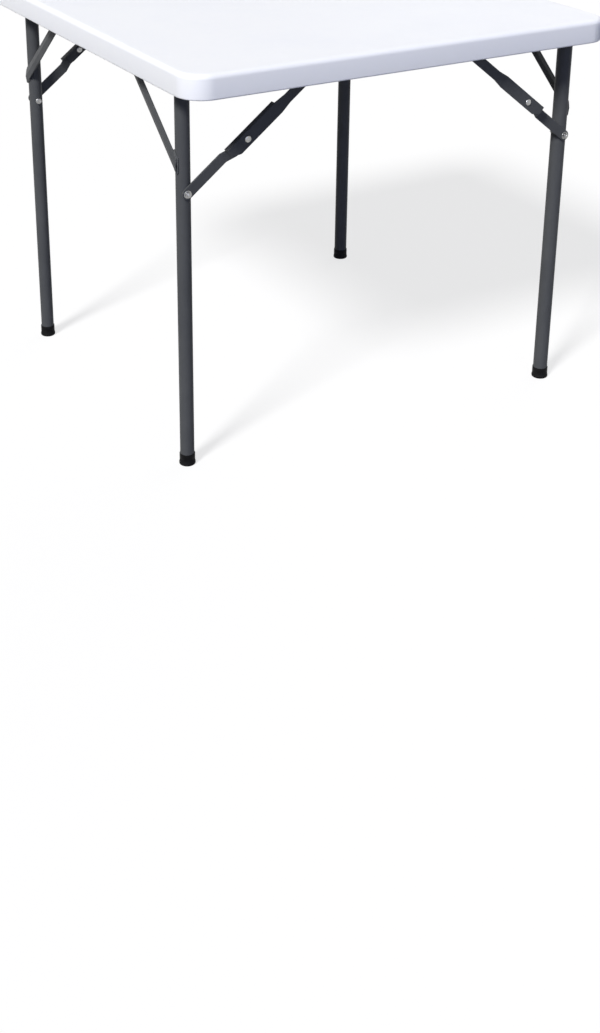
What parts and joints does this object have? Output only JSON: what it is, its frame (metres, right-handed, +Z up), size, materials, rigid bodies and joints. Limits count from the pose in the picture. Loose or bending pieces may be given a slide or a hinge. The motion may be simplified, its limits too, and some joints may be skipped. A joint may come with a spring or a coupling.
{
  "type": "folding card table",
  "caption": "Square folding card table with a moulded plastic top and nesting steel leg sets held by folding braces.",
  "frame": {"origin": "on the floor, under the middle of the tabletop", "axes": "+Z up, X along the steel rails from the narrow leg set (-X) to the wide leg set (+X), Y along the cross tubes"},
  "size_m": [0.864, 0.864, 0.737],
  "materials": {
    "top_plastic": "fine moulded grain",
    "frame_paint": "semi-gloss powder coat",
    "zinc_steel": "bright zinc plate",
    "foot_rubber": "matte",
    "clip_plastic": "matte"
  },
  "bodies": {
    "tabletop": {"tabletop": "top_plastic", "rail_front": "frame_paint", "rail_back": "frame_paint", "rail_screws": "zinc_steel", "narrow_bracket_front": "frame_paint", "narrow_bracket_back": "frame_paint", "bracket_rivets": "zinc_steel", "narrow_pivot_rivets": "zinc_steel", "wide_pivot_rivets": "zinc_steel", "leg_clip_front": "clip_plastic", "leg_clip_back": "clip_plastic", "clip_screws": "zinc_steel"},
    "narrow_legs": {"narrow_cross_tube": "frame_paint", "narrow_leg_front": "frame_paint", "narrow_leg_back": "frame_paint", "narrow_gusset_front": "frame_paint", "narrow_gusset_back": "frame_paint", "narrow_foot_cap_front": "foot_rubber", "narrow_foot_cap_back": "foot_rubber", "narrow_leg_bolts": "zinc_steel"},
    "wide_legs": {"wide_cross_tube": "frame_paint", "wide_leg_front": "frame_paint", "wide_leg_back": "frame_paint", "wide_gusset_front": "frame_paint", "wide_gusset_back": "frame_paint", "wide_foot_cap_front": "foot_rubber", "wide_foot_cap_back": "foot_rubber", "wide_leg_bolts": "zinc_steel"},
    "narrow_upper_front": {"narrow_upper_link_front": "frame_paint", "narrow_knee_rivet_front": "zinc_steel"},
    "narrow_lower_front": {"narrow_lower_link_front": "frame_paint", "narrow_brace_nut_front": "zinc_steel"},
    "narrow_upper_back": {"narrow_upper_link_back": "frame_paint", "narrow_knee_rivet_back": "zinc_steel"},
    "narrow_lower_back": {"narrow_lower_link_back": "frame_paint", "narrow_brace_nut_back": "zinc_steel"},
    "wide_upper_front": {"wide_upper_link_front": "frame_paint", "wide_knee_rivet_front": "zinc_steel"},
    "wide_lower_front": {"wide_lower_link_front": "frame_paint", "wide_brace_nut_front": "zinc_steel"},
    "wide_upper_back": {"wide_upper_link_back": "frame_paint", "wide_knee_rivet_back": "zinc_steel"},
    "wide_lower_back": {"wide_lower_link_back": "frame_paint", "wide_brace_nut_back": "zinc_steel"}
  },
  "joints": [
    {"name": "narrow_fold", "type": "hinge", "parent": "tabletop", "child": "narrow_legs", "pos_m": [-0.382, 0, 0.7085], "axis": [0, -1, 0], "range_deg": [0, 90]},
    {"name": "wide_fold", "type": "hinge", "parent": "tabletop", "child": "wide_legs", "pos_m": [0.382, 0, 0.7085], "axis": [0, 1, 0], "range_deg": [0, 90]},
    {"name": "narrow_brace_pivot_front", "type": "hinge", "parent": "tabletop", "child": "narrow_upper_front", "pos_m": [-0.125, 0, 0.7085], "axis": [0, 1, 0], "range_deg": [0, 37.9]},
    {"name": "narrow_knee_front", "type": "hinge", "parent": "narrow_upper_front", "child": "narrow_lower_front", "pos_m": [-0.27599, 0, 0.591], "axis": [0, -1, 0], "range_deg": [0, 180]},
    {"name": "narrow_brace_pivot_back", "type": "hinge", "parent": "tabletop", "child": "narrow_upper_back", "pos_m": [-0.125, 0, 0.7085], "axis": [0, 1, 0], "range_deg": [0, 37.9]},
    {"name": "narrow_knee_back", "type": "hinge", "parent": "narrow_upper_back", "child": "narrow_lower_back", "pos_m": [-0.27599, 0, 0.591], "axis": [0, -1, 0], "range_deg": [0, 180]},
    {"name": "wide_brace_pivot_front", "type": "hinge", "parent": "tabletop", "child": "wide_upper_front", "pos_m": [0.125, 0, 0.7085], "axis": [0, -1, 0], "range_deg": [0, 37.9]},
    {"name": "wide_knee_front", "type": "hinge", "parent": "wide_upper_front", "child": "wide_lower_front", "pos_m": [0.27599, 0, 0.591], "axis": [0, 1, 0], "range_deg": [0, 180]},
    {"name": "wide_brace_pivot_back", "type": "hinge", "parent": "tabletop", "child": "wide_upper_back", "pos_m": [0.125, 0, 0.7085], "axis": [0, -1, 0], "range_deg": [0, 37.9]},
    {"name": "wide_knee_back", "type": "hinge", "parent": "wide_upper_back", "child": "wide_lower_back", "pos_m": [0.27599, 0, 0.591], "axis": [0, 1, 0], "range_deg": [0, 180]}
  ],
  "couplings": [
    {"joint": "narrow_brace_pivot_front", "follows": "narrow_fold", "ratio": 0.42101},
    {"joint": "narrow_knee_front", "follows": "narrow_fold", "ratio": 2},
    {"joint": "narrow_brace_pivot_back", "follows": "narrow_fold", "ratio": 0.42101},
    {"joint": "narrow_knee_back", "follows": "narrow_fold", "ratio": 2},
    {"joint": "wide_brace_pivot_front", "follows": "wide_fold", "ratio": 0.42101},
    {"joint": "wide_knee_front", "follows": "wide_fold", "ratio": 2},
    {"joint": "wide_brace_pivot_back", "follows": "wide_fold", "ratio": 0.42101},
    {"joint": "wide_knee_back", "follows": "wide_fold", "ratio": 2}
  ]
}
